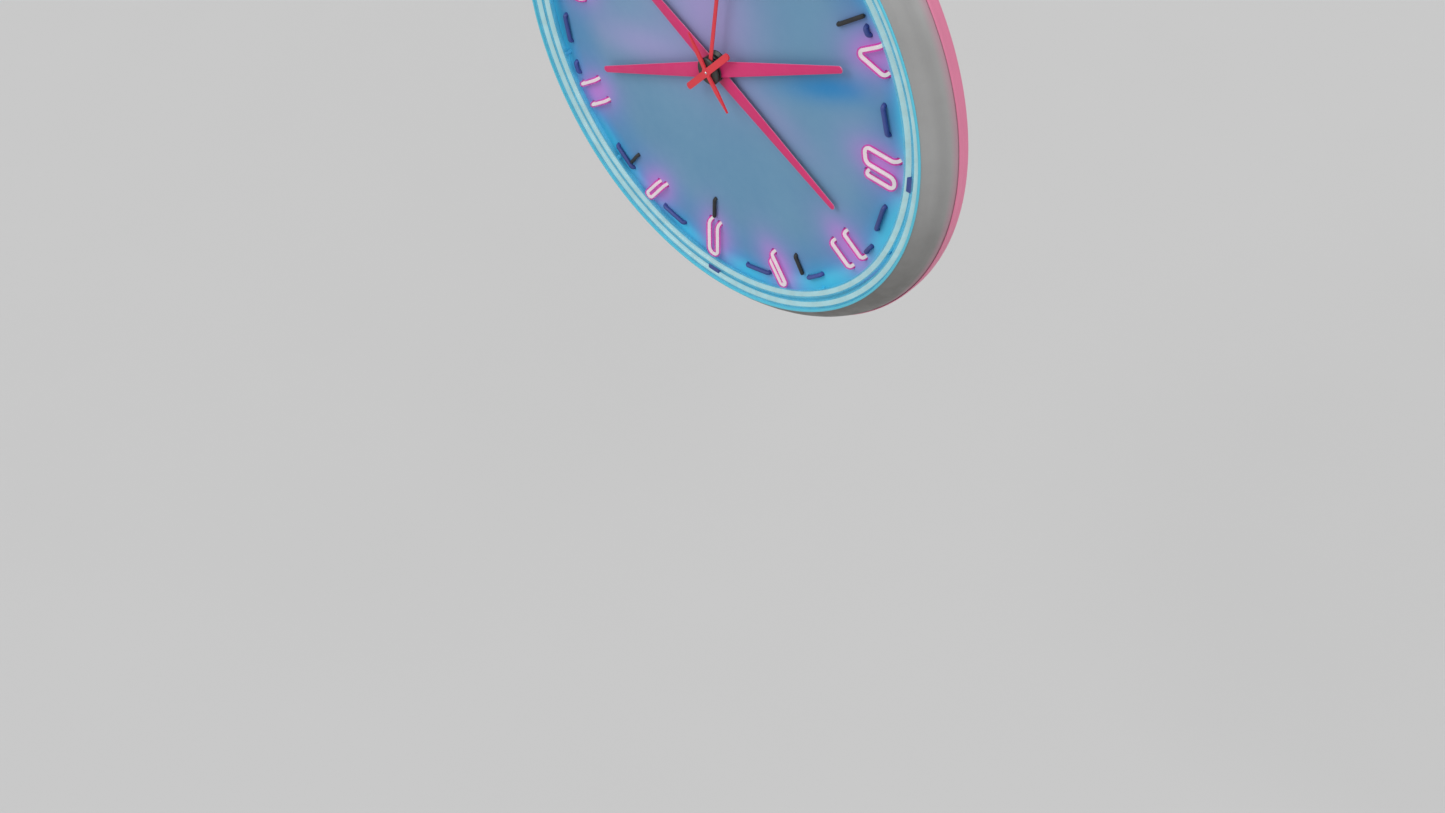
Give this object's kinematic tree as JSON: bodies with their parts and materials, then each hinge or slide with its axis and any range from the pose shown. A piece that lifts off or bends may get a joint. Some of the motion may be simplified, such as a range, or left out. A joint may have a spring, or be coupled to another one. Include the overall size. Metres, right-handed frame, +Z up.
{
  "type": "neon wall clock",
  "caption": "Round service-station wall clock with a double neon ring, neon tube hour marks, bar hands, a geared electric movement and a hanging back pan.",
  "frame": {"origin": "on the hand axis, in the plane of the wall that the back pan rests on", "axes": "+Z up towards twelve o'clock, +Y into the wall, the dial faces -Y, +X towards three o'clock"},
  "size_m": [0.6099, 0.072, 0.61],
  "materials": {
    "blue_paint": "gloss",
    "dial_blue": "satin",
    "grey_paint": "satin",
    "pan_grey": "satin",
    "pink_paint": "satin",
    "zinc_steel": "zinc plated",
    "cyan_glass": "gloss",
    "pink_glass": "gloss",
    "indigo_glass": "gloss",
    "black_rubber": "matte",
    "grey_rubber": "matte",
    "lead_jacket": "matte",
    "mains_jacket": "matte",
    "black_plastic": "satin",
    "brass_plate": "brushed",
    "steel": "polished",
    "core_iron": "laminated, varnished",
    "coil_tape": "matte",
    "can_copper": "spun",
    "transformer_paint": "satin",
    "porcelain": "gloss",
    "boss_black": "satin",
    "hand_pink": "satin",
    "second_red": "satin"
  },
  "bodies": {
    "clock_frame": {"bezel_ring": "blue_paint", "case_ring": "grey_paint", "trim_ring": "pink_paint", "chassis_ring": "zinc_steel", "back_pan": "pan_grey", "dial_panel": "dial_blue", "bezel_nuts": "zinc_steel", "case_screws": "zinc_steel", "outer_ring_tube": "cyan_glass", "inner_ring_tube": "cyan_glass", "ring_clips": "black_plastic", "tube_posts": "dial_blue", "half_hour_bars": "indigo_glass", "feed_sleeves": "black_rubber", "electrode_boots": "grey_rubber", "ht_leads": "lead_jacket", "transformer_case": "transformer_paint", "transformer_bushings": "porcelain", "terminal_block": "black_plastic", "cable_gland": "black_plastic", "gland_nut": "black_plastic", "mains_leads": "mains_jacket", "movement_front_plate": "brass_plate", "movement_middle_plate": "brass_plate", "movement_back_plate": "brass_plate", "movement_pillars": "brass_plate", "dial_bushing": "brass_plate", "bushing_nut": "brass_plate", "centre_boss": "boss_black", "rotor_can": "can_copper", "field_core": "core_iron", "field_coil": "coil_tape", "hour_tube_1": "pink_glass", "hour_tube_2": "pink_glass", "hour_tube_3": "pink_glass", "hour_tube_4": "pink_glass", "hour_tube_5": "pink_glass", "hour_tube_6": "pink_glass", "hour_tube_7": "pink_glass", "hour_tube_8": "pink_glass", "hour_tube_9": "pink_glass", "hour_tube_10": "pink_glass", "hour_tube_11": "pink_glass", "hour_tube_12": "pink_glass"},
    "minute_group": {"minute_hand": "hand_pink", "minute_collet": "boss_black", "cannon_pinion": "brass_plate", "clutch_spring": "steel"},
    "hour_group": {"hour_hand": "hand_pink", "hour_collet": "boss_black", "hour_wheel": "brass_plate"},
    "minute_wheel": {"minute_wheel": "brass_plate"},
    "setting_knob": {"setting_knob": "black_plastic"},
    "second_group": {"second_hand": "second_red", "second_collet": "boss_black", "cross_cap": "second_red", "second_arbor": "steel"},
    "rotor_pinion": {"rotor_pinion": "steel"},
    "third_wheel": {"third_wheel": "brass_plate"},
    "centre_wheel": {"centre_wheel": "brass_plate"}
  },
  "joints": [
    {"name": "minute_turn", "type": "hinge", "parent": "clock_frame", "child": "minute_group", "pos_m": [0, -0.03, 0], "axis": [0, 1, 0], "continuous": true},
    {"name": "hour_turn", "type": "hinge", "parent": "clock_frame", "child": "hour_group", "pos_m": [0, -0.03, 0], "axis": [0, 1, 0], "continuous": true},
    {"name": "minute_wheel_turn", "type": "hinge", "parent": "clock_frame", "child": "minute_wheel", "pos_m": [-0.024, -0.03, 0], "axis": [0, 1, 0], "continuous": true},
    {"name": "setting_turn", "type": "hinge", "parent": "clock_frame", "child": "setting_knob", "pos_m": [-0.036, -0.03, 0.02079], "axis": [0, 1, 0], "continuous": true},
    {"name": "second_turn", "type": "hinge", "parent": "clock_frame", "child": "second_group", "pos_m": [0, -0.03, 0], "axis": [0, 1, 0], "continuous": true},
    {"name": "rotor_turn", "type": "hinge", "parent": "clock_frame", "child": "rotor_pinion", "pos_m": [0, -0.03, -0.0175], "axis": [0, 1, 0], "continuous": true},
    {"name": "third_turn", "type": "hinge", "parent": "clock_frame", "child": "third_wheel", "pos_m": [0.026, -0.03, 0], "axis": [0, 1, 0], "continuous": true},
    {"name": "centre_turn", "type": "hinge", "parent": "clock_frame", "child": "centre_wheel", "pos_m": [0, -0.03, 0], "axis": [0, 1, 0], "continuous": true}
  ],
  "couplings": [
    {"joint": "hour_turn", "follows": "minute_turn", "ratio": 0.083333},
    {"joint": "minute_wheel_turn", "follows": "minute_turn", "ratio": -0.33333},
    {"joint": "setting_turn", "follows": "minute_turn", "ratio": 1},
    {"joint": "rotor_turn", "follows": "second_turn", "ratio": -6},
    {"joint": "third_turn", "follows": "second_turn", "ratio": -0.13333},
    {"joint": "centre_turn", "follows": "second_turn", "ratio": 0.016667}
  ]
}
